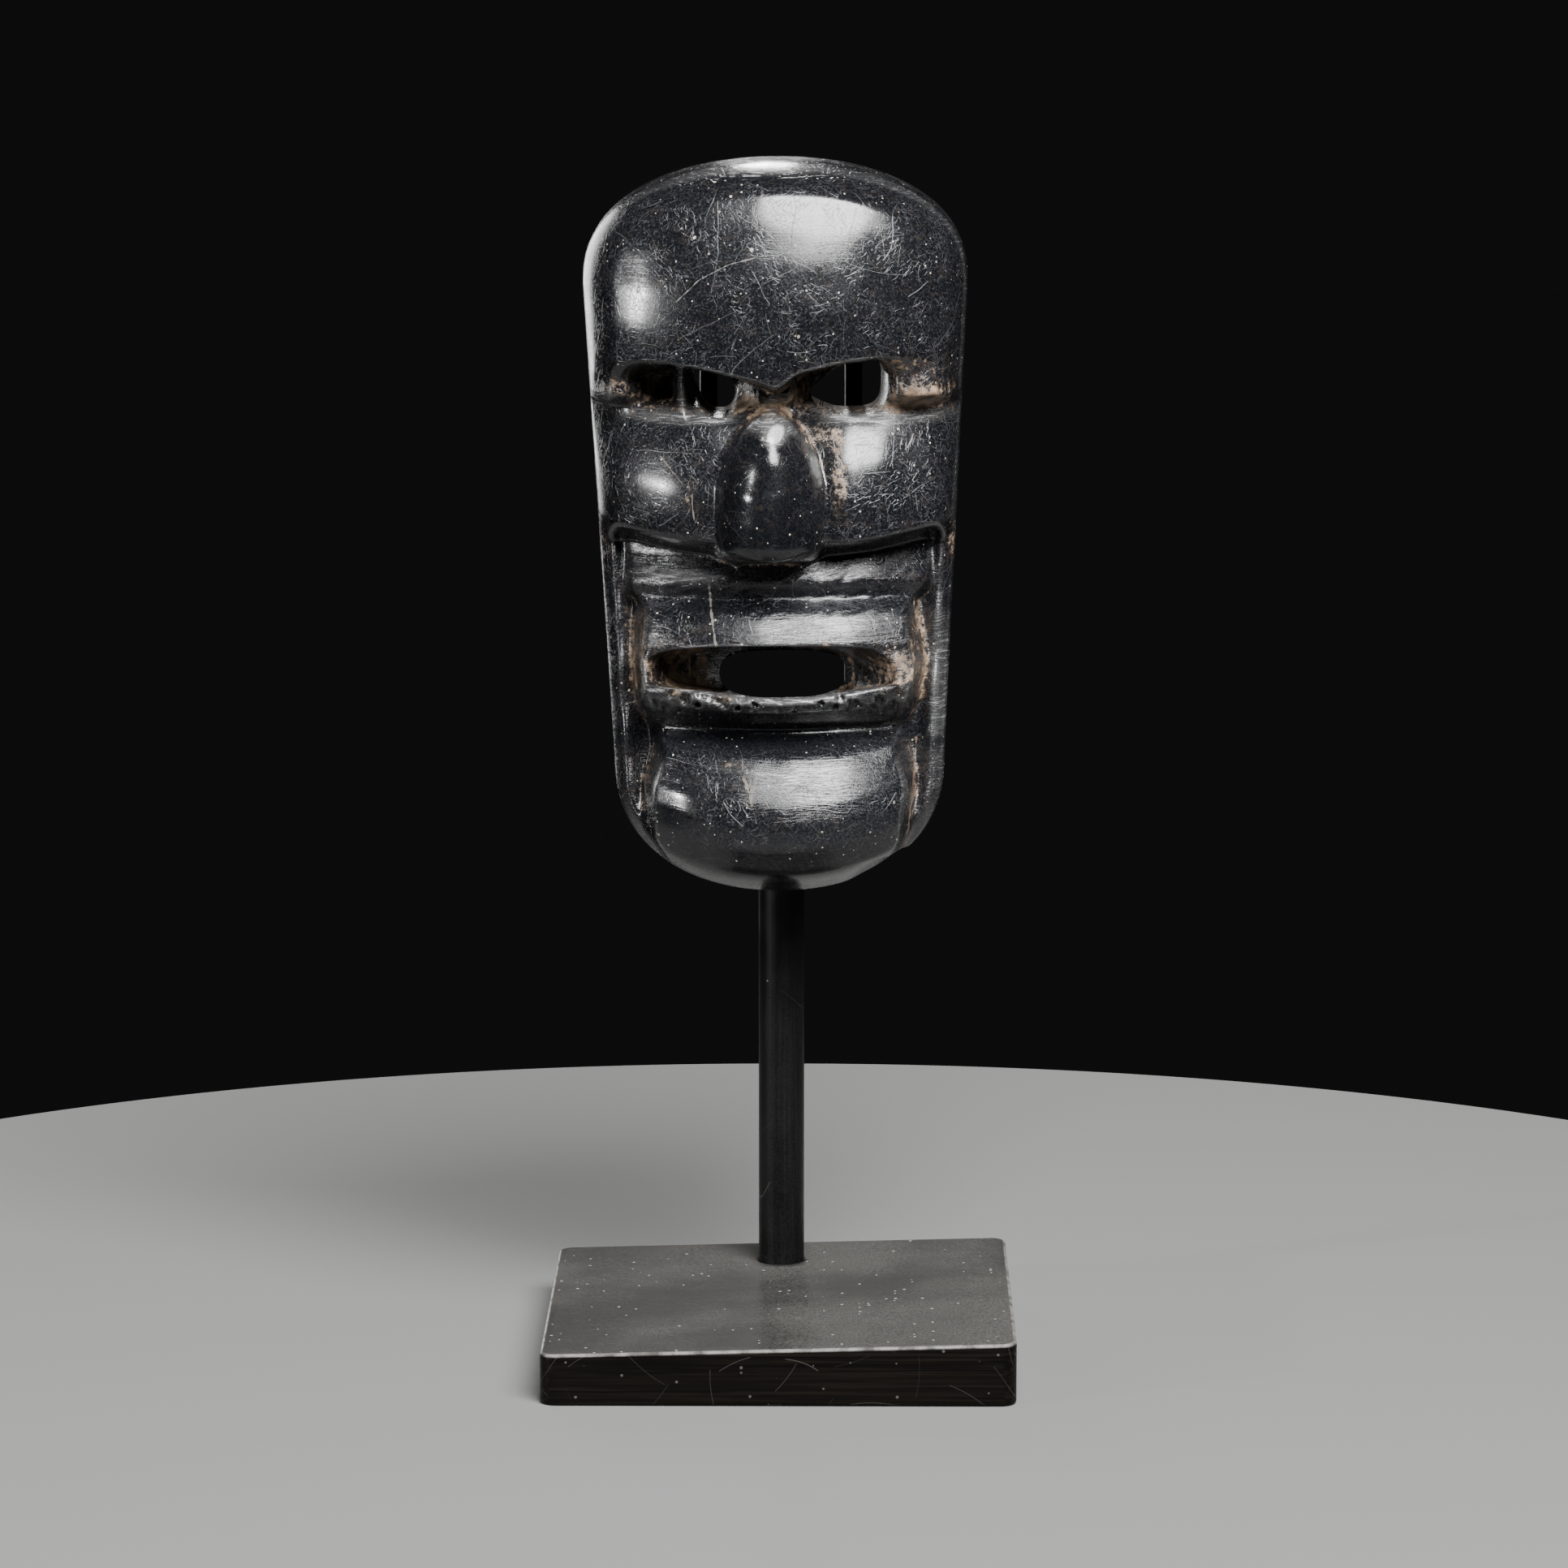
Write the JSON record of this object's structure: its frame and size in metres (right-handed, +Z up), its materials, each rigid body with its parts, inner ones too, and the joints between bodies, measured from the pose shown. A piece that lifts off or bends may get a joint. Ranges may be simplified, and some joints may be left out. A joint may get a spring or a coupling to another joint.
{
  "type": "stone mask on a display stand",
  "caption": "Small carved dark stone mask with pierced eyes and mouth, held by a wire fork and a steel rod over a square black wooden base.",
  "frame": {"origin": "on the surface that the base stands on, under the middle of the base", "axes": "+Z up, the mask faces -Y, +X to the right of someone who looks at its face"},
  "size_m": [0.08, 0.08, 0.2053],
  "materials": {
    "stone_mask": "hand polished, scratched, with earth left in the recesses",
    "wire_fork": "blackened, matt",
    "steel_rod": "blackened, matt",
    "wood_base": "stained black, worn satin"
  },
  "bodies": {
    "root": {"stone_mask": "stone_mask", "wire_fork": "wire_fork", "steel_rod": "steel_rod", "wood_base": "wood_base"}
  },
  "joints": []
}
